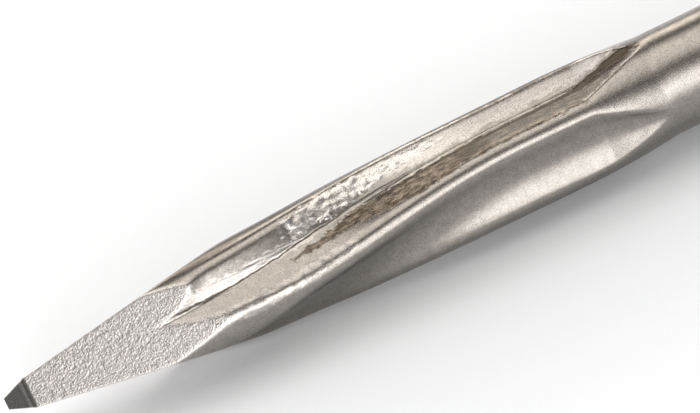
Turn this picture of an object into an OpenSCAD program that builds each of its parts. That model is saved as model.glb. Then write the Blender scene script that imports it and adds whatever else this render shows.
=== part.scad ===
/* [Body] */
// Whole length of the chisel, from its point to its struck end
total_length = 250; // [200:5:400]
// Diameter of the plain round bar
bar_d = 14; // [12:0.5:18]
// How far the chisel is rolled about its own axis as it lies
roll = 134; // [0:1:180]

/* [Point] */
// Width of the small blunt square at the very end
tip_width = 1.6; // [0.8:0.1:3]
// Length of the steeper ground tip
tip_length = 3.5; // [2:0.1:8]
// Slope of the ground tip's four faces to the axis, in degrees
tip_slope = 21.2; // [15:0.1:30]
// Slope of the four long flats to the axis, in degrees
flat_slope = 8.7; // [6:0.1:12]

/* [Flutes] */
// Distance from the point to the rear end of the flutes
flute_end = 95; // [75:1:120]
// Depth of the two creased flutes' floor below the bar's surface
crease_depth = 1.85; // [1:0.05:2.6]
// Depth of the two scooped flutes' floor below the bar's surface
scoop_depth = 1.55; // [1:0.05:2.6]
// Angle that a flute takes up where it leaves the flats
flute_span_front = 49; // [36:1:60]
// Angle that a flute takes up along its full part
flute_span = 73; // [55:1:84]
// Length over which a flute grows to its full width
flute_spread = 14; // [8:0.5:24]
// Length of the ramp that ends a flute in the bar
flute_run_out = 9.5; // [6:0.5:14]
// Angle by which a creased flute's floor lies off its middle
crease_lean = 5; // [0:0.5:8]
// Height by which a creased flute's sides swell above straight ones
crease_swell = 0.06; // [0.02:0.01:0.3]
// Depth by which a scooped flute's sides hollow below straight ones
scoop_hollow = 0.25; // [0.1:0.01:0.4]
// Angle by which a scooped flute's floor lies off its middle
scoop_lean = 6; // [0:0.5:8]
// Angle by which a scooped flute's rear edge falls short of a creased flute's
scoop_short = 10; // [0:0.5:14]

/* [Twist] */
// Distance from the point at which the flutes begin to turn
twist_start = 24; // [15:1:35]
// Length over which they turn
twist_length = 51; // [35:1:65]
// Angle that they turn through
twist_angle = 54; // [20:1:75]

/* [Ridges] */
// Height of the ridges above the bar where the flats end
ridge_rise_front = 0.15; // [0.05:0.05:0.5]
// Height of the ridges above the bar at their highest
ridge_rise = 0.9; // [0.7:0.05:1.4]
// How early the ridges gain their height, where 1 is evenly along their length
ridge_climb = 1.6; // [1:0.1:2.4]
// Distance from the highest ridge back to the flutes' end
ridge_fall = 14; // [9:0.5:20]
// Drop from a ridge's crest to its edges
ridge_crown = 0.18; // [0.05:0.01:0.35]

/* [Shank] */
// Diameter of the shank
shank_d = 10; // [8:0.5:11.5]
// Length of the shank from the struck end to the shoulder
shank_length = 58; // [48:1:75]
// Length of the cone between the shank and the bar
shoulder_length = 6; // [3:0.5:12]
// Bevel round the struck end
end_bevel = 1; // [0.4:0.1:1.6]

/* [Drive grooves] */
// Width of the two open grooves
groove_width = 3.6; // [2.6:0.1:4.4]
// Depth of the open grooves below the shank's surface
groove_depth = 1.7; // [1:0.1:2.2]
// Length of the open grooves' level floor
groove_length = 26; // [18:0.5:31]
// Radius of the curve that ends each open groove
groove_end_radius = 12; // [8:0.5:16]

/* [Locking pockets] */
// Diameter of the ball that fits the two closed pockets
pocket_ball_d = 7; // [5:0.1:8.4]
// Depth of the closed pockets below the shank's surface
pocket_depth = 1.7; // [1:0.1:2.1]
// Distance from the struck end to the closed pockets
pocket_start = 11; // [7:0.5:14]
// Length of the closed pockets
pocket_length = 20; // [14:0.5:24]

/* [Hidden] */
$fn = 96;

bar_r = bar_d / 2;
shank_r = shank_d / 2;
shoulder_at = total_length - shank_length;
bar_end = shoulder_at - shoulder_length;

// The fluted skin sinks this far below the bar where the two meet
seam = 0.02;
// How far the fluted skin reaches into the bar
seat = 2;
// Room that a cutting shape has past what it cuts
clear = 1;

// Steps of the fluted skin round each flute's side and each ridge's side
side_steps = 5;
ridge_steps = 3;
// Largest step of the fluted skin along the axis, and in the ramp at its end
skin_step = 1.3;
ramp_step = 0.7;

// The four long flats as half-widths of a square that grows along the axis
tip_half = tip_width / 2;
flat_start_half = tip_half + tip_length * tan(tip_slope);
function flat_half(x) = flat_start_half + (x - tip_length) * tan(flat_slope);
// Past this place the flats clear the ridges
envelope_half = bar_r + ridge_rise + clear;
envelope_end = tip_length + (envelope_half - flat_start_half) / tan(flat_slope);

// The place where the flats have run out over the flutes' sides
flats_end = tip_length + (bar_r * cos(flute_span_front / 2) - flat_start_half) / tan(flat_slope);
ridge_top_at = flute_end - ridge_fall;
// Width of a flute's side along its full part
side_chord = bar_r * 2 * sin(flute_span / 4) * 1.06;

function clamp01(t) = min(1, max(0, t));
function ease(t) = let (u = clamp01(t)) u * u * (3 - 2 * u);
function mix(a, b, t) = a + (b - a) * t;

// Turn of the flutes at a distance x from the point
function turn_at(x) = -twist_angle * ease((x - twist_start) / twist_length);
// Height of the ridge crests above the bar, which fall to nothing at the flutes' end
function climb_at(x) = 1 - pow(1 - clamp01((x - flats_end) / (ridge_top_at - flats_end)), ridge_climb);
function rise_at(x) =
    x < ridge_top_at
        ? mix(ridge_rise_front, ridge_rise, climb_at(x))
        : ridge_rise * (1 - pow(clamp01((x - ridge_top_at) / ridge_fall), 1.8));
// What is left of a flute at x, from 1 along its full part to 0 at its end
function ramp_at(x) = clamp01((flute_end - x) / flute_run_out);
function floor_r_at(x, depth) = bar_r - seam - depth * ramp_at(x);
function half_span_at(x) =
    mix(flute_span_front, flute_span, ease((x - flats_end) / flute_spread)) / 2
    * max(0.06, pow(ramp_at(x), 0.75));
function crest_r_at(x) = bar_r - seam + rise_at(x);
function edge_r_at(x) = crest_r_at(x) - ridge_crown * clamp01(rise_at(x) / ridge_rise_front);

function polar(r, a) = [r * cos(a), r * sin(a)];
// Points from p to q, swollen outwards by a share of their distance, without q
function side(p, q, swell, steps) =
    let (d = q - p, out = [d[1], -d[0]])
    [for (i = [0:steps - 1])
        let (t = i / steps)
        p + d * t + out * (4 * t * (1 - t) * swell)];
// One quarter of the section at x: ridge crest, edge, flute floor, edge, up to the next crest.
// A creased flute has a sharp valley between straight sides, and a scooped one a hollow floor
function quarter(x, a, scooped) =
    let (
        half = half_span_at(x),
        full = half / (flute_span / 2),
        lean = -(scooped ? scoop_lean : crease_lean) * full,
        half_out = half - (scooped ? scoop_short * full : 0),
        bow = scooped ? -scoop_hollow : crease_swell,
        swell = bow * min(1, ramp_at(x) * 2) / side_chord,
        land_bow_in = tan((45 - half) / 4) / 2,
        land_bow_out = tan((45 - half_out) / 4) / 2,
        crest = polar(crest_r_at(x), a - 45),
        edge_in = polar(edge_r_at(x), a - half),
        bottom = polar(floor_r_at(x, scooped ? scoop_depth : crease_depth), a + lean),
        edge_out = polar(edge_r_at(x), a + half_out),
        next_crest = polar(crest_r_at(x), a + 45)
    )
    concat(
        side(crest, edge_in, land_bow_in, ridge_steps),
        side(edge_in, bottom, swell, side_steps),
        side(bottom, edge_out, swell, side_steps),
        side(edge_out, next_crest, land_bow_out, ridge_steps)
    );
function ring(x) =
    [for (i = [0:3]) for (p = quarter(x, roll + 90 * i + turn_at(x), i % 2 == 1)) [x, p[0], p[1]]];
function plain_ring(x, r, n) =
    [for (i = [0:n - 1]) let (a = roll - 45 + turn_at(x) + 360 * i / n) [x, r * cos(a), r * sin(a)]];

// Stations of the skin: one long piece that the flats cut away, then even steps, then finer ones
deepest = max(crease_depth, scoop_depth);
skin_start = min(twist_start, tip_length + (bar_r - deepest - flat_start_half) / tan(flat_slope)) - 2;
ramp_start = flute_end - flute_run_out;
body_steps = ceil((ramp_start - skin_start) / skin_step);
ramp_steps = ceil(flute_run_out / ramp_step);
stations = concat(
    [-clear],
    [for (i = [0:body_steps - 1]) mix(skin_start, ramp_start, i / body_steps)],
    [for (i = [0:ramp_steps - 1]) mix(ramp_start, flute_end, i / ramp_steps)]
);

// Height of the axis above what the chisel lies on, so that no ridge dips below that
ridge_reach = -min([for (x = stations) if (x > flats_end) for (p = ring(x)) p[2]]);
lie_height = max(bar_r, ridge_reach);

// A closed skin through rings that all have the same number of points
module skin(rings) {
    n = len(rings[0]);
    m = len(rings);
    walls = [
        for (j = [0:m - 2])
            for (i = [0:n - 1])
                let (
                    a = j * n + i,
                    b = j * n + (i + 1) % n,
                    c = a + n,
                    d = b + n
                )
                each [[a, b, d], [a, d, c]]
    ];
    front = [[for (i = [n - 1:-1:0]) i]];
    back = [[for (i = [0:n - 1]) (m - 1) * n + i]];
    polyhedron(points = [for (r = rings) each r], faces = concat(walls, front, back));
}

// The bar's front with its four turning flutes, up to the place where they end
module fluted_front() {
    n = 8 * (side_steps + ridge_steps);
    skin(concat(
        [for (x = stations) ring(x)],
        [plain_ring(flute_end + seat, bar_r - seam * 2, n)]
    ));
}

// The square point as a solid that the front must lie within
module point_envelope() {
    function square_ring(x, h) =
        [for (i = [0:3]) let (a = roll - 45 + 90 * i) [x, h * sqrt(2) * cos(a), h * sqrt(2) * sin(a)]];
    far = flute_end + seat + clear;
    skin([
        square_ring(0, tip_half),
        square_ring(tip_length, flat_start_half),
        square_ring(envelope_end, envelope_half),
        square_ring(far, envelope_half)
    ]);
}

module front() {
    intersection() {
        fluted_front();
        point_envelope();
    }
}

// Bar, shoulder and shank as one turned profile
module turned_bar() {
    rotate([0, 90, 0])
        rotate_extrude()
            polygon([
                [0, flute_end],
                [bar_r, flute_end],
                [bar_r, bar_end],
                [shank_r, shoulder_at],
                [shank_r, total_length - end_bevel],
                [shank_r - end_bevel, total_length],
                [0, total_length]
            ]);
}

// A groove open at the struck end, with a curved run-out at its front
module drive_groove() {
    floor_r = shank_r - groove_depth;
    translate([total_length - groove_length, -groove_width / 2, floor_r])
        cube([groove_length + clear, groove_width, groove_depth + clear]);
    translate([total_length - groove_length, groove_width / 2, floor_r + groove_end_radius])
        rotate([90, 0, 0])
            cylinder(r = groove_end_radius, h = groove_width);
}

// A closed pocket with round ends, as a ball leaves it
module locking_pocket() {
    ball_r = pocket_ball_d / 2;
    centre_r = shank_r - pocket_depth + ball_r;
    first = total_length - pocket_start - pocket_length + ball_r;
    last = total_length - pocket_start - ball_r;
    translate([first, 0, centre_r])
        rotate([0, 90, 0])
            cylinder(r = ball_r, h = last - first);
    for (x = [first, last])
        translate([x, 0, centre_r])
            sphere(r = ball_r);
}

// The chisel lies on its bar, with its middle over the origin and its point towards -X
module chisel() {
    color("silver")
        translate([-total_length / 2, 0, lie_height])
            difference() {
                union() {
                    front();
                    turned_bar();
                }
                for (a = [0, 180])
                    rotate([roll + a, 0, 0])
                        drive_groove();
                for (a = [90, 270])
                    rotate([roll + a, 0, 0])
                        locking_pocket();
            }
}

chisel();
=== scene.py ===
"""Looks of the forged pointed chisel: its detailed steel skin, its finish, and a pale studio."""

import logging
import math
from dataclasses import dataclass, field
from enum import Enum

import bpy
import numpy as np
from mathutils import Matrix, Vector, noise

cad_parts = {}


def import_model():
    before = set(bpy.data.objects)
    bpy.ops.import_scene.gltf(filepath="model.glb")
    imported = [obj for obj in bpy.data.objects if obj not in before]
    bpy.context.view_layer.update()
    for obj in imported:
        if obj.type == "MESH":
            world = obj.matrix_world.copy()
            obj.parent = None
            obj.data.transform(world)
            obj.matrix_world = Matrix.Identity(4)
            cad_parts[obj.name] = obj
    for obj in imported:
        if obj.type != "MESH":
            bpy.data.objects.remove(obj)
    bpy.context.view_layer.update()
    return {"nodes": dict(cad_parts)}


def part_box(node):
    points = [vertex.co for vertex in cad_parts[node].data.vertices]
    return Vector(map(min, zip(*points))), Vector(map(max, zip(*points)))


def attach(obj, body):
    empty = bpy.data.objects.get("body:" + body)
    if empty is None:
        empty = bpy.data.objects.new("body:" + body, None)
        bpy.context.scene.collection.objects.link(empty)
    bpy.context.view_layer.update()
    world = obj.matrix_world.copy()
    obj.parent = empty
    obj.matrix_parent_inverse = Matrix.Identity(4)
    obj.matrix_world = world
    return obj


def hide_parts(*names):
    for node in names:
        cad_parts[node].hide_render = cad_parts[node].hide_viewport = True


LOG = logging.getLogger("chisel")
MM = 0.001
RANGE_INPUTS = ("Value", "From Min", "From Max", "To Min", "To Max")

Colour = tuple[float, float, float, float]
Span = tuple[float, float]
Triple = tuple[float, float, float]
Socket = bpy.types.NodeSocket
Value = Socket | float
Paint = Socket | Colour
Inputs = dict[str | int, Socket | Colour | Triple | float]


def clamp01(t: np.ndarray) -> np.ndarray:
    """Limits values to between 0 and 1."""
    return np.clip(t, 0.0, 1.0)


def ease(t: np.ndarray) -> np.ndarray:
    """Rises smoothly from 0 to 1 as t does."""
    u = clamp01(t)
    return u * u * (3.0 - 2.0 * u)


def band(value: np.ndarray, start: float, end: float, soft: float) -> np.ndarray:
    """Is 1 between start and end, and falls to 0 over the distance soft outside them."""
    return ease((value - start) / soft + 1.0) * ease((end - value) / soft + 1.0)


def polar(radius: np.ndarray | float, degrees: np.ndarray) -> np.ndarray:
    """Turns radii and angles into (across, up) points."""
    turn = np.radians(degrees)
    return np.stack([radius * np.cos(turn), radius * np.sin(turn)], axis=-1)


def arc(radius: float, start: float, end: float, count: int) -> np.ndarray:
    """Makes points on a circle's arc from start to end, without the end."""
    return polar(radius, np.linspace(start, end, count, endpoint=False))


def bowed(start: np.ndarray, end: np.ndarray, swell: float, count: int) -> np.ndarray:
    """Makes points on a bowed line, without its end.

    Args:
        start: First point, as (across, up).
        end: Last point.
        swell: How far the line bows outwards at its middle, in millimetres.
        count: Points on the line.

    Returns:
        An array of points by (across, up).
    """
    t = np.linspace(0.0, 1.0, count, endpoint=False)[:, None]
    run = end - start
    out = np.array([run[1], -run[0]]) / max(float(np.hypot(*run)), 1e-9)
    return start + run * t + out * 4.0 * t * (1.0 - t) * swell


def turning_blur(count: int, degrees: float) -> np.ndarray:
    """Makes a bell-shaped filter for a ring of evenly spaced radii.

    Args:
        count: Points in the ring.
        degrees: Width of the bell.

    Returns:
        The filter, for the function blurred.
    """
    away = np.minimum(np.arange(count), count - np.arange(count)) * 360.0 / count
    bell = np.exp(-0.5 * (away / degrees) ** 2)
    return np.fft.rfft(bell / bell.sum())


def blurred(radius: np.ndarray, bell: np.ndarray) -> np.ndarray:
    """Rounds a ring's edges with a filter from turning_blur."""
    return np.fft.irfft(np.fft.rfft(radius) * bell, len(radius))


@dataclass(frozen=True)
class Step:
    """A smooth change along the chisel, from a place on and over a length, in millimetres."""

    start: float
    length: float
    share: float = 1.0

    def at(self, x: np.ndarray) -> np.ndarray:
        """Gives how much of the change is done, from 0 to 1."""
        return ease((x - self.start) / self.length)

    def left(self, x: np.ndarray) -> np.ndarray:
        """Gives what the change leaves of a thing that it takes its share from."""
        return 1.0 - self.share * self.at(x)


@dataclass(frozen=True)
class BarForm:
    """Lengths along the chisel and the bar's size, in millimetres."""

    total_length: float = 250.0
    bar_d: float = 14.0
    roll_deg: float = 134.0
    # the rings' points turn back over this length behind the flutes
    unwind: float = 40.0

    @property
    def bar_r(self) -> float:
        """Radius of the plain bar."""
        return self.bar_d / 2.0


@dataclass(frozen=True)
class PointForm:
    """The square point's sizes, in millimetres and degrees."""

    tip_width: float = 1.6
    tip_length: float = 3.5
    tip_slope_deg: float = 21.2
    flat_slope_deg: float = 8.7
    corner_round: float = 0.11
    # the flats' mask is full where they cut this deep
    cut_full: float = 0.12
    ground: Step = Step(2.25, 0.3)
    rough: Step = Step(3.3, 0.5)
    # bright border between the ground tip and the rough flats: start, end and softness
    border: Triple = (2.6, 3.0, 0.15)

    @property
    def tip_half(self) -> float:
        """Half-width where the long flats start."""
        slope = math.tan(math.radians(self.tip_slope_deg))
        return self.tip_width / 2.0 + self.tip_length * slope

    def half_width(self, x: np.ndarray) -> np.ndarray:
        """Gives the half-width of the square at a distance from the point.

        Args:
            x: Distances from the point.

        Returns:
            The half-widths, in millimetres.
        """
        tip = self.tip_width / 2.0 + x * math.tan(math.radians(self.tip_slope_deg))
        slope = math.tan(math.radians(self.flat_slope_deg))
        return np.minimum(tip, self.tip_half + (x - self.tip_length) * slope)

    def reaches(self, half: float) -> float:
        """Gives the distance from the point at which the long flats have a half-width."""
        slope = math.tan(math.radians(self.flat_slope_deg))
        return self.tip_length + (half - self.tip_half) / slope


@dataclass(frozen=True)
class FluteForm:
    """Sizes of the four turning flutes and the ridges between them, in millimetres and degrees."""

    end: float = 95.0
    crease_depth: float = 1.85
    scoop_depth: float = 1.55
    span_front: float = 49.0
    span: float = 73.0
    spread: float = 14.0
    run_out: float = 9.5
    # how fast a flute narrows over its run-out, and the least share of its width
    narrowing: float = 0.75
    narrowest: float = 0.06
    # a creased flute's far side opens here
    far_opening: Step = Step(25.5, 6.0)
    crease_lean: float = 5.0
    crease_swell: float = 0.06
    scoop_hollow: float = 0.25
    # the sides' bow is full while more than this share of the depth is left
    bow_full: float = 0.5
    scoop_lean: float = 6.0
    scoop_short: float = 10.0
    twist_start: float = 24.0
    twist_length: float = 51.0
    twist: float = 54.0
    rise_front: float = 0.15
    climb: float = 1.6
    rise: float = 0.9
    fall: float = 14.0
    fall_curve: float = 1.8
    crown: float = 0.06
    edge_round: float = 4.2
    crease_round: float = 1.3
    # angles from a creased flute's middle between which its valley is kept crisp, and the softness
    crisp_valley: Triple = (-24.0, 12.0, 12.0)
    # all edges are half crisp towards the flutes' ends
    crisp_end: Step = Step(76.0, 10.0, 0.5)


@dataclass(frozen=True)
class ShankForm:
    """Sizes of the shank, its grooves and its pockets, in millimetres."""

    diameter: float = 10.0
    length: float = 58.0
    shoulder: float = 6.0
    bevel: float = 1.0
    groove_width: float = 3.6
    groove_depth: float = 1.7
    groove_length: float = 26.0
    groove_end_radius: float = 12.0
    pocket_ball_d: float = 7.0
    pocket_depth: float = 1.7
    pocket_start: float = 11.0
    pocket_length: float = 20.0
    # the least half-width of a groove, and depth and half-angle of a pocket, where they run out
    least_groove: float = 0.02
    least_pocket: float = 1e-4
    least_pocket_deg: float = 0.15
    # struck end's inner round: its gap to the grooves' floor, and the angles from a groove's
    # middle between which its points are spread
    inner_gap: float = 0.1
    inner_turns: tuple[float, ...] = (-45.0, -41.0, -39.0, 39.0, 41.0, 45.0)

    @property
    def radius(self) -> float:
        """Radius of the shank."""
        return self.diameter / 2.0

    @property
    def ball(self) -> float:
        """Radius of the ball that the pockets fit."""
        return self.pocket_ball_d / 2

    @property
    def floor(self) -> float:
        """Height of the grooves' floor above the axis."""
        return self.radius - self.groove_depth

    @property
    def groove_run(self) -> float:
        """Length over which a groove runs out in front of its straight part."""
        return math.sqrt(2 * self.groove_end_radius * self.groove_depth - self.groove_depth**2)

    @property
    def pocket_run(self) -> float:
        """Length over which a pocket runs out beyond its straight part."""
        return math.sqrt(self.ball**2 - (self.ball - self.pocket_depth) ** 2)

    def floor_at(self, back: float) -> float:
        """Gives the height of the grooves' floor, a distance in front of their straight part."""
        r = self.groove_end_radius
        return self.floor + r - math.sqrt(max(r**2 - back**2, 0.0)) if back > 0 else self.floor

    def pocket_at(self, off: float) -> float:
        """Gives the pockets' depth, a distance off their straight part."""
        sunk = self.ball - math.sqrt(max(self.ball**2 - off**2, 0.0))
        return max(self.pocket_depth - sunk, 0.0) if off < self.ball else 0.0


class Zone(Enum):
    """Masks that the finish reads, each a point attribute of the chisel's mesh."""

    FLAT = "flat_mask"
    TIP = "tip_mask"
    SEAM = "seam_mask"
    CHIP = "chip_mask"
    # painted shade, and the dark block in the seam
    DARK = "dark_mask"
    # painted highlights, and the bright border at the tip
    HIGHLIGHT_AND_BRIGHT = "bright_mask"


Masks = dict[Zone, np.ndarray]


@dataclass(frozen=True)
class Mark:
    """One mark on a creased flute. Some are forging marks, the others are painted shade and painted
    highlights.

    Its path lists the distance from the point, in millimetres, and the angles in degrees between
    which the mark lies there, measured from the flute's middle. The border's softness is in degrees
    beside the mark and in millimetres at its ends.
    """

    path: tuple[Triple, ...]
    soft: float
    strength: float = 1.0
    soft_length: float = 1.2

    def inside(self, x: np.ndarray, angle: np.ndarray) -> np.ndarray:
        """Gives a mask that has the mark's strength inside it.

        Args:
            x: Distances from the point, by rings and points.
            angle: Angles from the flute's middle.

        Returns:
            The mask.
        """
        places, low, high = (np.array(v, float) for v in zip(*self.path))
        start, end = np.interp(x, places, low), np.interp(x, places, high)
        along = band(x, places[0], places[-1], self.soft_length)
        return self.strength * (along * band(angle, start, end, self.soft))


@dataclass(frozen=True)
class ForgeAndPaintedLightMarks:
    """The forging marks on the creased flutes, with the painted shade and painted highlights there.
    """

    # crumbly floor of the flute's near side
    seam: Mark = Mark(((42.0, 10, 12), (47.0, 8, 16), (51.0, 0, 19), (60.0, 4, 34), (68.0, 2, 35),
                       (82.0, 0, 36), (86.0, -6, 34), (90.5, -8, 14), (94.0, -8, -6)), 1.6)
    seam_fade: Step = Step(70.5, 2.0, 0.3)
    # painted shade: a thin dark line along the valley crease, which is also cut slightly in
    valley: Mark = Mark(((25.0, -7.8, -6.2), (38.0, -5.8, -4.4), (51.0, -9.2, -7.4),
                         (64.0, -8.0, -6.2), (80.0, -9.4, -7.4), (87.0, -12, -9),
                         (92.0, -16, -12)), 1.0)
    # where the valley's painted shade lies along the chisel: start, end and softness
    valley_painted_shade: Triple = (26.0, 92.0, 5.0)
    # the valley's painted shade weakens behind here
    valley_fade: Step = Step(44.0, 8.0, 0.65)
    valley_wander: float = 0.8
    # painted shadow under the lip and in the flute's pointed end
    shadow: Mark = Mark(((56.0, 4, 7), (66.0, 2, 7), (73.0, 3, 10), (82.0, 0, 8), (86.0, -8, 7),
                         (90.5, -12, 10), (94.5, -10, -8)), 1.6)
    # one dark block in the seam
    block: Mark = Mark(((67.6, 4, 33), (70.2, 4, 33)), 1.5, 0.6)
    # broken skin on the far side
    chips: Mark = Mark(((43.4, -35, -14), (49.0, -36, -15), (55.0, -33, -19), (60.0, -30, -21),
                        (66.0, -28, -24)), 2.0)
    # rough skin that trails off the flat along the near ridge
    skirt: Mark = Mark(((31.0, 18, 30), (36.0, 23, 38), (44.0, 29, 38), (50.0, 33, 38)), 2.5, 0.35)
    # painted shade over the far ridge, which darkens its bright grazing reflection
    rim: Mark = Mark(((4.0, -50, -45), (20.0, -51, -45.5), (29.0, -62, -48), (36.0, -58, -49),
                      (52.0, -52, -44), (60.0, -48, -40), (66.0, -48, -37), (74.0, -48, -35),
                      (91.0, -48, -35)), 1.5, 0.6)
    # drawn streaks in the skin at the front of the far side, their colour lightened as a painted
    # highlight
    streak: Mark = Mark(((24.0, -16, -10), (29.0, -22, -9), (34.0, -20, -7), (40.0, -17, -4),
                         (46.0, -12, 1)), 2.5)
    # share of the painted highlight in the streak's colour
    streak_painted_highlight: float = 0.4
    # painted highlight: the back of the far side painted lighter
    plane: Mark = Mark(((54.0, -34, -24), (62.0, -37, -15), (75.0, -32, -15), (86.0, -32, -19),
                        (92.0, -32, -20)), 5.0, 0.6)
    # the marks' borders wander by this many degrees and millimetres
    wander_deg: float = 3.0
    wander_mm: float = 0.8


@dataclass(frozen=True)
class Bumps:
    """Relief of the skin, as soft lumps or as broken facets."""

    height: float
    # bumps to a millimetre
    scale: float
    broken: bool = False

    def over(self, places: np.ndarray, amount: np.ndarray) -> np.ndarray:
        """Gives the relief's heights.

        Args:
            places: Points by (along, across, up).
            amount: Share of the relief at each point; nearly 0 leaves the point out.

        Returns:
            The heights.
        """
        out = np.zeros(amount.shape)
        for spot in zip(*np.nonzero(amount > 0.01)):
            place = Vector(places[spot]) * self.scale
            if self.broken:
                near, second = noise.voronoi(place)[0][:2]
                out[spot] = (second - 1.4 * near) * amount[spot]
            else:
                out[spot] = 1.6 * noise.noise(place) * amount[spot]
        return self.height * out


@dataclass(frozen=True)
class Relief:
    """Reliefs of the zones, in millimetres."""

    flat_broad: Bumps = Bumps(0.011, 1.3)
    flat_fine: Bumps = Bumps(0.012, 4.0)
    seam_depth: float = 0.07
    seam_broad: Bumps = Bumps(0.05, 2.4)
    seam_fine: Bumps = Bumps(0.035, 5.5)
    chip_lumps: Bumps = Bumps(0.09, 1.1)
    chip_facets: Bumps = Bumps(0.13, 0.8, broken=True)
    valley_depth: float = 0.05
    # the streaks are drawn out along the chisel and narrow across it
    streak: Bumps = Bumps(0.018, 1.0)
    streak_pull: Triple = (0.35, 3.0, 3.0)
    skin: Bumps = Bumps(0.004, 1.2)
    # the wandering of the marks' borders is made of these two, the second one moved aside
    wander_broad: Bumps = Bumps(1.0, 0.9)
    wander_fine: Bumps = Bumps(0.7, 2.6)
    wander_aside: float = 40.0


@dataclass(frozen=True)
class Grid:
    """How finely the skin is divided, with steps in millimetres."""

    # points across each flute; the first and second are the ones the picture shows
    across: tuple[int, int, int, int] = (100, 60, 38, 42)
    point_step: float = 0.25
    point_end: float = 60.0
    flute_step: float = 0.36
    bar_step: float = 8.0
    # places of the first rings behind the flutes, from the flutes' end
    join: Triple = (0.2, 0.6, 1.2)
    # rings over which the points slide round to the grooves' and pockets' borders
    slide_rings: int = 7
    groove_end_step: float = 0.6
    shank_step: float = 2.0
    pocket_rings: int = 11
    # even points on which a fluted section is drawn, and those of its lands and flutes' sides
    drawn: int = 720
    land_points: int = 8
    side_points: int = 10

    @property
    def count(self) -> int:
        """Points in one ring."""
        return sum(self.across)

    def angles(self) -> np.ndarray:
        """Gives the points' angles round a ring, in degrees from the first flute's middle."""
        runs = [90.0 * i - 45.0 + np.arange(n) * (90.0 / n) for i, n in enumerate(self.across)]
        return np.concatenate(runs)

    def shares(self, count: int) -> tuple[int, int, int]:
        """Shares a quarter's points out to each side, each groove wall and the groove's floor."""
        side, wall = count // 4, count // 10
        return side, wall, count - 2 * side - 2 * wall


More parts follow.
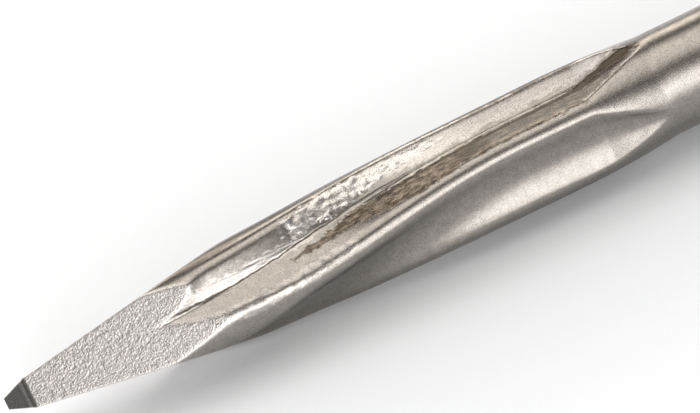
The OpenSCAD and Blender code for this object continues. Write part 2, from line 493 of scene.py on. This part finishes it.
@dataclass
class ForgedChisel:
    """The whole chisel as one closed skin: square point, flutes, bar and shank.

    Lengths are in millimetres and angles in degrees.
    """

    bar: BarForm = field(default_factory=BarForm)
    point: PointForm = field(default_factory=PointForm)
    flute: FluteForm = field(default_factory=FluteForm)
    shank: ShankForm = field(default_factory=ShankForm)
    marks: ForgeAndPaintedLightMarks = field(default_factory=ForgeAndPaintedLightMarks)
    relief: Relief = field(default_factory=Relief)
    grid: Grid = field(default_factory=Grid)
    # edges steeper than this are shaded sharp
    sharp_deg: float = 42.0
    name: str = "chisel_skin"

    def flats_end(self) -> float:
        """Gives the place where the flats run out over the flutes' sides."""
        half_turn = math.radians(self.flute.span_front / 2)
        return self.point.reaches(self.bar.bar_r * math.cos(half_turn))

    def turn(self, x: np.ndarray) -> np.ndarray:
        """Gives the flutes' turn at each place, in degrees."""
        f = self.flute
        return -f.twist * ease((x - f.twist_start) / f.twist_length)

    def rise(self, x: np.ndarray) -> np.ndarray:
        """Gives the ridges' height above the bar.

        Args:
            x: Distances from the point.

        Returns:
            The heights.
        """
        f = self.flute
        top = f.end - f.fall
        start = self.flats_end()
        share = 1.0 - (1.0 - clamp01((x - start) / (top - start))) ** f.climb
        climb = f.rise_front + (f.rise - f.rise_front) * share
        drop = f.rise * (1.0 - clamp01((x - top) / f.fall) ** f.fall_curve)
        return np.where(x < top, climb, drop)

    def ramp(self, x: np.ndarray) -> np.ndarray:
        """Gives what is left of a flute, from 1 along its full part to 0 at its end."""
        return clamp01((self.flute.end - x) / self.flute.run_out)

    def width_left(self, x: np.ndarray) -> np.ndarray:
        """Gives the share of a flute's width that is left over its run-out."""
        return np.maximum(self.flute.narrowest, self.ramp(x) ** self.flute.narrowing)

    def half_span(self, x: np.ndarray) -> np.ndarray:
        """Gives half the angle that a flute takes up.

        Args:
            x: Distances from the point.

        Returns:
            The angles.
        """
        f = self.flute
        opening = ease((x - self.flats_end()) / f.spread)
        span = f.span_front + (f.span - f.span_front) * opening
        return span / 2.0 * self.width_left(x)

    def far_half_span(self, x: np.ndarray) -> np.ndarray:
        """Gives the angle of a creased flute's far side, which opens sooner than the near one."""
        near, full = self.half_span(x), self.flute.span / 2.0 * self.width_left(x)
        return near + (full - near) * self.flute.far_opening.at(x)

    def outline(self, x: float, angles: np.ndarray) -> np.ndarray:
        """Gives the fluted section's radius at angles measured from the first flute's middle.

        Args:
            x: Distance from the point.
            angles: Angles that rise evenly through a full turn.

        Returns:
            The radii, with sharp edges.
        """
        f, g = self.flute, self.grid
        half, far = float(self.half_span(x)), float(self.far_half_span(x))
        ramp, rise = float(self.ramp(x)), float(self.rise(x))
        crest_r = self.bar.bar_r + rise
        edge_r = crest_r - f.crown * float(clamp01(rise / f.rise_front))
        full = half / (f.span / 2.0)
        sides = []
        for i in range(4):
            scoop = i % 2 == 1
            bow = -f.scoop_hollow if scoop else f.crease_swell
            bow *= min(1.0, ramp / f.bow_full)
            lean = -(f.scoop_lean if scoop else f.crease_lean) * full
            half_in = half if scoop else far
            half_out = half - (f.scoop_short * full if scoop else 0.0)
            floor_r = self.bar.bar_r - (f.scoop_depth if scoop else f.crease_depth) * ramp
            land_in, land_out = (crest_r * (1.0 - math.cos(math.radians(45.0 - v) / 2.0))
                                 for v in (half_in, half_out))
            # each stop has its radius and angle, and the swell and points of the side after it
            stops = [(crest_r, -45.0, land_in, g.land_points),
                     (edge_r, -half_in, bow, g.side_points), (floor_r, lean, bow, g.side_points),
                     (edge_r, half_out, land_out, g.land_points), (crest_r, 45.0, 0.0, 0)]
            for (r0, a0, swell, n), (r1, a1, _, _) in zip(stops[:-1], stops[1:]):
                start, end = polar(r0, a0 + 90.0 * i), polar(r1, a1 + 90.0 * i)
                sides.append(bowed(start, end, swell, n))
        points = np.concatenate(sides)
        radius = np.hypot(points[:, 0], points[:, 1])
        turn = np.degrees(np.arctan2(points[:, 1], points[:, 0]))
        order = np.argsort(turn)
        return np.interp(angles, turn[order], radius[order], period=360.0)

    def fluted_rings(self, x: np.ndarray) -> np.ndarray:
        """Makes the rings of the fluted front, before the square point is cut.

        Args:
            x: Distances from the point.

        Returns:
            An array of rings by points by (across, up).
        """
        f, n = self.flute, self.grid.drawn
        even = -45.0 + np.arange(n) * 360.0 / n
        angles = self.grid.angles()
        soft, crisp = turning_blur(n, f.edge_round), turning_blur(n, f.crease_round)
        # the creased flutes, 1 and 3, keep their valleys crisp
        local = (even + 90.0) % 180.0 - 90.0
        sharp = band(local, *f.crisp_valley)
        rings = []
        for place, turn in zip(x, self.turn(x)):
            radius = self.outline(float(place), even)
            smooth, fine = blurred(radius, soft), blurred(radius, crisp)
            ending = f.crisp_end.share * float(f.crisp_end.at(place))
            radius = smooth + (fine - smooth) * np.maximum(sharp, ending)
            radius = np.interp(angles, even, radius, period=360.0)
            rings.append(polar(radius, angles + self.bar.roll_deg + turn))
        return np.array(rings)

    def front_stations(self) -> np.ndarray:
        """Places the rings of the fluted front.

        Returns:
            Distances from the point.
        """
        g, end = self.grid, self.flute.end
        fine = np.arange(0.0, g.point_end, g.point_step)
        steps = round((end - g.point_end) / g.flute_step)
        return np.concatenate([fine, np.linspace(g.point_end, end, steps + 1)])

    def bar_rings(self) -> list[tuple[float, np.ndarray]]:
        """Makes the plain bar's rings, from the flutes to the shoulder.

        Returns:
            Each ring with its distance from the point.
        """
        g, start = self.grid, self.flute.end
        bar_end = self.bar.total_length - self.shank.length - self.shank.shoulder
        steps = max(2, round((bar_end - start) / g.bar_step))
        first, second, third = (start + gap for gap in g.join)
        end_turn = float(self.turn(start))
        rings = []
        for x in (first, second, *np.linspace(third, bar_end, steps)):
            unwound = float(ease((x - start) / self.bar.unwind))
            turns = g.angles() + self.bar.roll_deg + end_turn * (1.0 - unwound)
            rings.append((x, polar(self.bar.bar_r, turns)))
        return rings

    def groove(self, radius: float, floor: float, count: int) -> tuple[np.ndarray, float]:
        """Draws one groove across the top of a quarter.

        Args:
            radius: Radius of the shank there.
            floor: Height of the groove's floor above the axis.
            count: Points in the quarter.

        Returns:
            The groove's points by (across, up), and half its angle.
        """
        s = self.shank
        _, wall, bottom = self.grid.shares(count)
        open_half = math.sqrt(max(radius**2 - floor**2, 0.0))
        half = max(min(s.groove_width / 2, open_half), s.least_groove)
        top = math.sqrt(radius**2 - half**2)
        low = min(floor, top)
        corners = np.array([(half, top), (half, low), (-half, low), (-half, top)])
        sides = [bowed(start, end, 0.0, points) for start, end, points
                 in zip(corners[:-1], corners[1:], (wall, bottom, wall))]
        return np.concatenate(sides), math.degrees(math.asin(half / radius))

    def pocket(self, radius: float, depth: float, count: int) -> tuple[np.ndarray, float]:
        """Draws one pocket across the top of a quarter.

        Args:
            radius: Radius of the shank there.
            depth: Depth of the pocket.
            count: Points in the quarter.

        Returns:
            The pocket's points by (across, up), and half its angle.
        """
        s, ball = self.shank, self.shank.ball
        _, wall, bottom = self.grid.shares(count)
        centre = radius - max(depth, s.least_pocket) + ball
        across = (radius**2 + centre**2 - ball**2) / (2 * radius * centre)
        half = max(math.degrees(math.acos(min(1.0, across))), s.least_pocket_deg)
        side = radius * math.sin(math.radians(half))
        reach = math.asin(min(1.0, side / ball))
        t = np.linspace(reach, -reach, 2 * wall + bottom, endpoint=False)
        high = radius * math.cos(math.radians(half)) + ball * math.cos(reach)
        return np.stack([ball * np.sin(t), high - ball * np.cos(t)], axis=1), half

    def shank_ring(self, radius: float, floor: float, depth: float) -> np.ndarray:
        """Makes one ring of the shank with its two grooves and two pockets.

        Args:
            radius: Radius of the shank there.
            floor: Height of the grooves' floor above the axis.
            depth: Depth of the pockets there.

        Returns:
            An array of points by (across, up).
        """
        out = []
        for i, count in enumerate(self.grid.across):
            # each quarter is drawn with its groove or pocket at the top, then turned into place
            draw, size = (self.groove, floor) if i % 2 == 1 else (self.pocket, depth)
            middle, half = draw(radius, size, count)
            side = self.grid.shares(count)[0]
            quarter = np.concatenate([arc(radius, 45.0, 90.0 - half, side), middle,
                                      arc(radius, 90.0 + half, 135.0, side)])
            turn = math.radians(self.bar.roll_deg + 90.0 * (i - 1))
            cos, sin = math.cos(turn), math.sin(turn)
            out.append(np.stack([quarter[:, 0] * cos - quarter[:, 1] * sin,
                                 quarter[:, 0] * sin + quarter[:, 1] * cos], axis=1))
        return np.concatenate(out)

    def end_ring(self, radius: float) -> np.ndarray:
        """Makes the round inside the struck end's rim, its points spread beside the grooves.

        Args:
            radius: Radius of the round.

        Returns:
            An array of points by (across, up).
        """
        turns = []
        for i, count in enumerate(self.grid.across):
            side, wall, _ = self.grid.shares(count)
            stops = [0, side, side + wall, count - side - wall, count - side, count]
            even = np.array(stops) * 90.0 / count - 45.0
            angles = self.shank.inner_turns if i % 2 == 1 else even
            turns.append(90.0 * i + np.interp(np.arange(count), stops, angles))
        return polar(radius, np.concatenate(turns) + self.bar.roll_deg)

    def slide_rings(self, start: float, end: float) -> list[tuple[float, np.ndarray]]:
        """Makes rings whose points slide round to the grooves' and pockets' borders.

        Args:
            start: Distance of the first ring from the point.
            end: Distance of the first ring with its points there, which isn't made here.

        Returns:
            Each ring with its distance from the point.
        """
        r, even = self.shank.radius, self.grid.angles() + self.bar.roll_deg
        goal = self.shank_ring(r, r, 0.0)
        aim = np.degrees(np.arctan2(goal[:, 1], goal[:, 0]))
        slide = (aim - even + 180.0) % 360.0 - 180.0
        return [(start + (end - start) * t, polar(r, even + slide * t))
                for t in np.linspace(0.0, 1.0, self.grid.slide_rings + 1)[:-1]]

    def shank_rings(self) -> list[tuple[float, np.ndarray]]:
        """Makes the rings from the shoulder to the struck end.

        Returns:
            Each ring with its distance from the point.
        """
        s, g, total = self.shank, self.grid, self.bar.total_length
        straight, bevel_at = total - s.groove_length, total - s.bevel
        start = straight - s.groove_run
        pocket_first = total - s.pocket_start - s.pocket_length + s.ball
        pocket_last = total - s.pocket_start - s.ball
        xs = [*np.arange(start, straight, g.groove_end_step),
              *np.arange(straight, bevel_at, g.shank_step)]
        swing = s.pocket_run * np.sin(np.linspace(-math.pi / 2, math.pi / 2, g.pocket_rings))
        xs += [*(pocket_first + swing), *(pocket_last + swing)]
        rings = self.slide_rings(total - s.length, start)
        for x in sorted({round(x, 3) for x in xs if start <= x < bevel_at}):
            depth = s.pocket_at(max(pocket_first - x, x - pocket_last, 0.0))
            rings.append((x, self.shank_ring(s.radius, s.floor_at(straight - x), depth)))
        for back in (s.bevel, s.bevel / 2, 0.0):
            rings.append((total - back, self.shank_ring(s.radius - s.bevel + back, s.floor, 0.0)))
        # an inner round keeps the struck end's faces clean beside the grooves' walls
        rings.append((total, self.end_ring(s.floor - s.inner_gap)))
        return rings

    def axis_height(self) -> float:
        """Gives the axis's height above the floor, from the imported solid, in millimetres."""
        low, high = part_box("chisel")
        return (low.z + high.z) / 2.0 / MM

    def build(self) -> bpy.types.Object:
        """Builds the skin.

        Returns:
            The chisel as one mesh object, in metres, in the model's frame.
        """
        x = self.front_stations()
        rings, masks = self.cut_square_point(x, self.fluted_rings(x))
        rings = self.roughen(x, rings, masks)
        behind = self.bar_rings() + self.shank_rings()
        places = np.array([*x, *(place for place, _ in behind)])
        points = np.zeros((len(places), self.grid.count, 3))
        points[:, :, 0] = places[:, None] - self.bar.total_length / 2.0
        points[:, :, 1:] = np.array([*rings, *(ring for _, ring in behind)])
        points[:, :, 2] += self.axis_height()
        low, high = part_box("chisel")
        return self.make_mesh(np.clip(points * MM, np.array(low), np.array(high)), masks)

    def cut_square_point(self, x: np.ndarray, rings: np.ndarray) -> tuple[np.ndarray, Masks]:
        """Cuts the flats into the fluted rings, with slightly rounded edges.

        Args:
            x: Distances from the point.
            rings: The fluted rings.

        Returns:
            The cut rings, and a mask for each zone.
        """
        p = self.point
        radius = np.hypot(rings[..., 0], rings[..., 1])
        angle = np.arctan2(rings[..., 1], rings[..., 0])
        half = p.half_width(x)[:, None]
        soft = p.corner_round * np.minimum(1.0, half / 2.0)
        total = np.exp(-(radius - half) / soft)
        for i in range(4):
            facing = np.cos(angle - math.radians(self.bar.roll_deg + 90.0 * i))
            # a flat that faces away is set far off and cuts nothing
            reach = half / np.maximum(facing, 0.05)
            total = total + np.exp(-(reach - half) / soft)
        cut = half - soft * np.log(total)
        masks = {zone: np.zeros_like(radius) for zone in Zone}
        masks[Zone.FLAT] = clamp01((radius - cut) / p.cut_full) * p.rough.at(x)[:, None]
        masks[Zone.TIP] = np.broadcast_to(p.ground.left(x)[:, None], radius.shape)
        return rings * (cut / radius)[..., None], masks

    def mark_zones(self, x: np.ndarray, places: np.ndarray,
                   masks: Masks) -> tuple[np.ndarray, np.ndarray]:
        """Fills in the masks of the forging marks and of the painted shade and highlights.

        Args:
            x: Distances from the point.
            places: Points by (along, across, up).
            masks: The zones' masks. The flats' mask is ready, the others are filled in.

        Returns:
            The masks of the valley line and of the bright streak.
        """
        m, r = self.marks, self.relief
        skin = 1.0 - masks[Zone.FLAT]
        whole = np.ones(skin.shape)
        wander = r.wander_broad.over(places, whole)
        wander = wander + r.wander_fine.over(places + r.wander_aside, whole)
        even_x = np.broadcast_to(x[:, None], skin.shape)
        even = (self.grid.angles() + 90.0) % 180.0 - 90.0
        along, angle = even_x + m.wander_mm * wander, even + m.wander_deg * wander
        masks[Zone.SEAM] = m.seam.inside(along, angle) * skin * m.seam_fade.left(x)[:, None]
        masks[Zone.CHIP] = skin * np.maximum(m.chips.inside(along, angle),
                                             m.skirt.inside(along, angle))
        valley = m.valley.inside(even_x, even + m.valley_wander * wander)
        # strength of the painted shade along the valley
        valley_painted_shade = band(x, *m.valley_painted_shade) * m.valley_fade.left(x)
        # the rim's painted shade lies before the flute's border at -45, so its angles run from -135
        # to 45
        rim_even = (self.grid.angles() + 135.0) % 180.0 - 135.0
        # painted shade along the valley, over the rim and under the lip, with one dark block in the
        # seam
        masks[Zone.DARK] = skin * np.maximum.reduce([
            valley * valley_painted_shade[:, None], m.rim.inside(even_x, rim_even + wander),
            m.block.inside(along, angle), m.shadow.inside(even_x, even + wander)])
        streak = m.streak.inside(along, angle) * skin
        border = np.broadcast_to(band(x, *self.point.border)[:, None], skin.shape)
        # painted highlights on the streak and the far side's back, with the bright border at the
        # tip
        masks[Zone.HIGHLIGHT_AND_BRIGHT] = np.maximum.reduce([
            m.streak_painted_highlight * streak, m.plane.inside(along, angle) * skin, border])
        return valley * skin, streak

    def roughen(self, x: np.ndarray, rings: np.ndarray, masks: Masks) -> np.ndarray:
        """Gives the flats, the creased flutes and the skin their relief.

        Args:
            x: Distances from the point.
            rings: The cut rings.
            masks: The zones' masks, which this fills in.

        Returns:
            The rings with their relief.
        """
        places = np.zeros(rings.shape[:2] + (3,))
        places[..., 0] = x[:, None]
        places[..., 1:] = rings
        valley, streak = self.mark_zones(x, places, masks)
        flat, seam, chip = masks[Zone.FLAT], masks[Zone.SEAM], masks[Zone.CHIP]
        r = self.relief
        height = r.flat_broad.over(places, flat) + r.flat_fine.over(places, flat)
        height += r.seam_broad.over(places, seam) + r.seam_fine.over(places, seam)
        height -= r.seam_depth * seam + r.valley_depth * valley
        height += r.chip_lumps.over(places, chip) + r.chip_facets.over(places, chip)
        height += r.streak.over(places * np.array(r.streak_pull), streak)
        height += r.skin.over(places, 1.0 - flat)
        radius = np.hypot(rings[..., 0], rings[..., 1])
        return rings * ((radius + height) / radius)[..., None]

    def make_mesh(self, points: np.ndarray, masks: Masks) -> bpy.types.Object:
        """Joins rings into one closed mesh and stores the masks on it.

        Args:
            points: Points by (x, y, z), by rings and points, in metres.
            masks: The zones' masks on the first rings; behind them the masks are 0.

        Returns:
            The mesh object, in the scene.
        """
        m, n = points.shape[:2]
        ids = np.arange(m * n).reshape(m, n)
        following = np.roll(ids, -1, axis=1)
        quads = np.stack([ids[:-1], following[:-1], following[1:], ids[1:]], axis=-1)
        verts = np.vstack([points.reshape(-1, 3), points[0].mean(axis=0), points[-1].mean(axis=0)])
        tip = m * n
        first, last = ids[0].tolist(), ids[-1].tolist()
        fans = [(first[(i + 1) % n], first[i], tip) for i in range(n)]
        fans += [(last[i], last[(i + 1) % n], tip + 1) for i in range(n)]
        mesh = bpy.data.meshes.new(self.name)
        mesh.from_pydata(verts.tolist(), [], quads.reshape(-1, 4).tolist() + fans)
        mesh.validate()
        for zone, values in masks.items():
            full = np.zeros(len(verts), np.float32)
            full[: values.size] = values.reshape(-1)
            if zone is Zone.TIP:
                full[tip] = 1.0
            layer = mesh.attributes.new(zone.value, "FLOAT", "POINT")
            layer.data.foreach_set("value", full)
        piece = bpy.data.objects.new(self.name, mesh)
        bpy.context.scene.collection.objects.link(piece)
        mesh.shade_smooth()
        mesh.set_sharp_from_angle(angle=math.radians(self.sharp_deg))
        return piece


@dataclass
class Wiring:
    """Adds nodes to a material or a world and joins them up."""

    tree: bpy.types.NodeTree
    # share of its height that each finer layer of noise has
    finer_layer: float = 0.6

    def node(self, kind: str, inputs: Inputs | None = None, **settings: str) -> bpy.types.Node:
        """Adds a node.

        Args:
            kind: The node's kind.
            inputs: What feeds its inputs, by their names or numbers.
            **settings: Its own settings.

        Returns:
            The node.
        """
        node = self.tree.nodes.new("ShaderNode" + kind)
        for name, setting in settings.items():
            setattr(node, name, setting)
        for key, value in (inputs or {}).items():
            if isinstance(value, bpy.types.NodeSocket):
                self.tree.links.new(value, node.inputs[key])
            else:
                node.inputs[key].default_value = value
        return node

    def mask(self, zone: Zone) -> Socket:
        """Reads a zone's mask."""
        return self.node("Attribute", attribute_name=zone.value).outputs["Fac"]

    def grain(self, scale: float, detail: float, stretch: float) -> Socket:
        """Makes fine noise.

        Args:
            scale: Bumps to a metre.
            detail: Layers of finer bumps.
            stretch: How far the noise is drawn out along the chisel.

        Returns:
            The noise.
        """
        place, pull = self.node("TexCoord").outputs["Object"], (1.0 / stretch, 1.0, 1.0)
        pulled = self.node("VectorMath", {0: place, 1: pull}, operation="MULTIPLY").outputs[0]
        inputs = {"Scale": scale, "Detail": detail, "Vector": pulled,
                  "Roughness": self.finer_layer}
        return self.node("TexNoise", inputs).outputs["Fac"]

    def blend(self, share: Socket, first: Paint, second: Paint) -> Socket:
        """Mixes two colours, with a share of the second one."""
        inputs = {"Factor": share, "A": first, "B": second}
        return self.node("Mix", inputs, data_type="RGBA").outputs["Result"]

    def sum(self, kind: str, first: Value, second: Value = 0.0) -> Socket:
        """Does a sum on one or two values."""
        return self.node("Math", {0: first, 1: second}, operation=kind).outputs[0]

    def spread(self, value: Socket, source: Span, target: Span = (0.0, 1.0),
               kind: str = "LINEAR") -> Socket:
        """Stretches values from one range to another, and holds them within it."""
        inputs = dict(zip(RANGE_INPUTS, (value, *source, *target)))
        return self.node("MapRange", inputs, interpolation_type=kind).outputs["Result"]


@dataclass(frozen=True)
class BlastedSteel:
    """Finish of the whole chisel: blasted grey steel, rough flats, a darker ground tip, with
    painted shade and painted highlights on the creased flutes.
    """

    name: str = "blasted_steel"
    body: Colour = (0.33, 0.308, 0.283, 1.0)
    flats: Colour = (0.70, 0.665, 0.64, 1.0)
    tip: Colour = (0.42, 0.405, 0.38, 1.0)
    seam: Colour = (0.235, 0.195, 0.155, 1.0)
    chip: Colour = (0.62, 0.59, 0.56, 1.0)
    # dark of the seam's crumbs and the pits, and the colour of the painted shade
    dark: Colour = (0.07, 0.056, 0.042, 1.0)
    # colour of the painted highlights and of the bright border at the tip
    bright: Colour = (0.62, 0.59, 0.56, 1.0)
    roughness: float = 0.225
    roughness_range: float = 0.16
    # each noise: bumps per metre, layers of detail, and how far it is drawn out along the chisel
    fine: Triple = (6500.0, 2.0, 1.0)
    pebble: Triple = (3300.0, 4.0, 1.0)
    mottle: Triple = (900.0, 4.0, 1.0)
    crumb: Triple = (1500.0, 5.0, 2.2)
    # values of the noise between which the mottling, the seam's crumbs and the pits come up
    mottle_range: Span = (0.35, 0.65)
    crumb_range: Span = (0.40, 0.62)
    pit_range: Span = (0.54, 0.32)
    mottle_dark: float = 0.84
    pit_share: float = 0.48
    # heights of the bump: of the fine grain, of the pebbled zones, and the chips' share of those
    fine_height: float = 0.35
    pebble_height: float = 1.6
    chip_height: float = 0.55
    bump_distance: float = 0.00006
    bump_strength: float = 0.75

    def colour(self, w: Wiring, fine: Socket) -> Socket:
        """Mixes the steel's colour from the zones.

        Args:
            w: The material's wiring.
            fine: The fine grain.

        Returns:
            The colour.
        """
        darker = tuple(self.mottle_dark * v for v in self.body[:3]) + (1.0,)
        mottling = w.spread(w.grain(*self.mottle), self.mottle_range)
        crumbling = w.spread(w.grain(*self.crumb), self.crumb_range)
        colour = w.blend(mottling, darker, self.body)
        crumbs = w.blend(crumbling, self.dark, self.seam)
        # the shade zone paints shade in, and the highlight zone paints highlights in
        for zone, paint in ((Zone.FLAT, self.flats), (Zone.CHIP, self.chip), (Zone.SEAM, crumbs),
                            (Zone.HIGHLIGHT_AND_BRIGHT, self.bright), (Zone.DARK, self.dark),
                            (Zone.TIP, self.tip)):
            colour = w.blend(w.mask(zone), colour, paint)
        pits = w.sum("MULTIPLY", w.spread(fine, self.pit_range), self.pit_share)
        return w.blend(pits, colour, self.dark)

    def height(self, w: Wiring, fine: Socket) -> Socket:
        """Makes the height of the bump.

        Args:
            w: The material's wiring.
            fine: The fine grain.

        Returns:
            The height.
        """
        chips = w.sum("MULTIPLY", w.mask(Zone.CHIP), self.chip_height)
        rocky = w.sum("MAXIMUM", w.sum("MAXIMUM", w.mask(Zone.FLAT), chips), w.mask(Zone.SEAM))
        pebbles = w.sum("MULTIPLY", w.grain(*self.pebble), rocky)
        return w.sum("ADD", w.sum("MULTIPLY", fine, self.fine_height),
                     w.sum("MULTIPLY", pebbles, self.pebble_height))

    def make(self) -> bpy.types.Material:
        """Builds the material.

        Returns:
            The material, which reads the mesh's masks.
        """
        material = bpy.data.materials.new(self.name)
        material.use_nodes = True
        w = Wiring(material.node_tree)
        fine = w.grain(*self.fine)
        smoothest = self.roughness - self.roughness_range / 2.0
        rough = w.sum("ADD", w.sum("MULTIPLY", fine, self.roughness_range), smoothest)
        bump = w.node("Bump", {"Distance": self.bump_distance, "Strength": self.bump_strength,
                               "Height": self.height(w, fine)})
        shader = w.tree.nodes["Principled BSDF"]
        shader.inputs["Metallic"].default_value = 1.0
        w.tree.links.new(self.colour(w, fine), shader.inputs["Base Color"])
        w.tree.links.new(rough, shader.inputs["Roughness"])
        w.tree.links.new(bump.outputs["Normal"], shader.inputs["Normal"])
        return material


@dataclass(frozen=True)
class Studio:
    """Pale floor, soft light round the chisel's axis, and the camera, in metres and degrees."""

    elevation_deg: float = 46.0
    lean_deg: float = 26.1
    frame_width: float = 0.09188
    distance: float = 0.6
    sensor: float = 36.0
    nearest: float = 0.01
    farthest: float = 50.0
    aim_from_tip: float = 0.05184
    aim_above_axis: float = 0.00346
    floor_half: float = 6.0
    floor_colour: Colour = (0.88, 0.895, 0.915, 1.0)
    # Light by its height round the chisel's axis, from the front floor (0) over the top to the
    # back floor (180): degrees, strength, warmth from 0 (neutral) to 1
    light: tuple[Triple, ...] = (
        (0.0, 1.8, 0.2), (8.0, 2.6, 0.1), (15.0, 3.6, 0.0), (35.0, 3.7, 0.0), (42.0, 1.9, 0.1),
        (50.0, 0.9, 0.3), (57.0, 0.4, 0.4), (69.0, 0.3, 0.4), (77.0, 1.2, 0.5), (86.0, 2.1, 0.5),
        (114.0, 2.3, 0.6), (125.0, 1.7, 0.7), (131.0, 0.05, 0.9), (145.0, 0.05, 0.9),
        (151.0, 1.9, 0.9), (158.0, 3.6, 0.9), (166.0, 3.5, 0.8), (172.0, 0.5, 0.8),
        (180.0, 0.05, 0.7),
    )
    # what a warm light lacks in green and in blue
    warm_green: float = 0.07
    warm_blue: float = 0.16
    # strength of the light beyond the chisel's two ends, in front of it and behind it
    end_light: Span = (0.25, 2.0)
    # share of x in a direction at which the ends' light starts and is full
    end_from: Span = (0.22, 0.42)
    # share of the way over the top at which the ends' light turns from the front one to the other
    end_turns: Span = (0.5, 0.68)

    def camera(self, axis_height: float, tip_x: float) -> bpy.types.Object:
        """Puts the camera across the chisel's axis, leaning as the picture does.

        Args:
            axis_height: Height of the chisel's axis.
            tip_x: Place of the chisel's point along x.

        Returns:
            The camera.
        """
        e, lean = math.radians(self.elevation_deg), math.radians(self.lean_deg)
        back = Vector((0.0, -math.cos(e), math.sin(e)))
        along = Vector((1.0, 0.0, 0.0))
        above = Vector((0.0, math.sin(e), math.cos(e)))
        right = along * math.cos(lean) - above * math.sin(lean)
        up = along * math.sin(lean) + above * math.cos(lean)
        aim = Vector((tip_x + self.aim_from_tip, 0.0, axis_height)) + above * self.aim_above_axis
        data = bpy.data.cameras.new("camera")
        data.sensor_width = self.sensor
        data.lens = self.sensor * self.distance / self.frame_width
        data.clip_start, data.clip_end = self.nearest, self.farthest
        camera = bpy.data.objects.new("camera", data)
        turn = Matrix((right, up, back)).transposed().to_4x4()
        camera.matrix_world = Matrix.Translation(aim + back * self.distance) @ turn
        bpy.context.scene.collection.objects.link(camera)
        bpy.context.scene.camera = camera
        return camera

    def floor(self) -> bpy.types.Object:
        """Lays the pale floor.

        Returns:
            The floor.
        """
        s = self.floor_half
        mesh = bpy.data.meshes.new("floor")
        mesh.from_pydata([(-s, -s, 0), (s, -s, 0), (s, s, 0), (-s, s, 0)], [], [(0, 1, 2, 3)])
        floor = bpy.data.objects.new("floor", mesh)
        bpy.context.scene.collection.objects.link(floor)
        material = bpy.data.materials.new("pale_floor")
        material.use_nodes = True
        shader = material.node_tree.nodes["Principled BSDF"]
        shader.inputs["Base Color"].default_value = self.floor_colour
        shader.inputs["Roughness"].default_value = 1.0
        shader.inputs["Specular IOR Level"].default_value = 0.0
        floor.data.materials.append(material)
        return floor

    def bands(self, w: Wiring, height: Socket, top: float) -> Socket:
        """Makes the colours of the light by its height round the chisel's axis.

        Args:
            w: The world's wiring.
            height: Height from 0 at the front floor to 1 at the back floor.
            top: Strength of the strongest light.

        Returns:
            The colours.
        """
        ramp = w.node("ValToRGB", {"Fac": height})
        ramp.color_ramp.interpolation = "LINEAR"
        stops = ramp.color_ramp.elements
        while len(stops) > 1:
            stops.remove(stops[-1])
        for i, (degrees, strength, warmth) in enumerate(self.light):
            stop = stops[0] if i == 0 else stops.new(degrees / 180.0)
            stop.position = degrees / 180.0
            level = strength / top
            stop.color = (level, level * (1.0 - self.warm_green * warmth),
                          level * (1.0 - self.warm_blue * warmth), 1.0)
        return ramp.outputs["Color"]

    def sky(self) -> bpy.types.World:
        """Lights the scene from bands of soft light that run along the chisel.

        Returns:
            The world.
        """
        world = bpy.data.worlds.new("studio")
        bpy.context.scene.world = world
        world.use_nodes = True
        w = Wiring(world.node_tree)
        w.tree.nodes.clear()
        split = w.node("SeparateXYZ", {0: w.node("TexCoord").outputs["Generated"]})
        forward = w.sum("MULTIPLY", split.outputs["Y"], -1.0)
        turn = w.sum("ARCTAN2", split.outputs["Z"], forward)
        height = w.sum("DIVIDE", turn, math.pi)
        top = max(strength for _, strength, _ in self.light)
        ends = w.spread(w.sum("ABSOLUTE", split.outputs["X"]), self.end_from, kind="SMOOTHSTEP")
        front, rear = self.end_light
        tail = w.spread(height, self.end_turns, (front / top, rear / top), "SMOOTHSTEP")
        colour = w.blend(ends, self.bands(w, height, top), tail)
        back = w.node("Background", {"Color": colour, "Strength": top})
        w.node("OutputWorld", {"Surface": back.outputs[0]})
        return world


def main() -> None:
    """Builds the camera, the chisel and the studio in turn."""
    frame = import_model()
    LOG.info("frame loaded: %d nodes", len(frame["nodes"]))
    low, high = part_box("chisel")
    studio = Studio()
    studio.camera((low.z + high.z) / 2.0, low.x)
    LOG.info("camera placed")
    skin = ForgedChisel().build()
    skin.data.materials.append(BlastedSteel().make())
    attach(skin, "root")
    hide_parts("chisel")
    LOG.info("chisel skin: %d faces", len(skin.data.polygons))
    floor = studio.floor()
    LOG.info("floor: %d face", len(floor.data.polygons))
    world = studio.sky()
    LOG.info("light: %s", world.name)
    bpy.context.scene.view_settings.view_transform = "Standard"


if __name__ == "__main__":
    logging.basicConfig(level=logging.INFO)
    main()
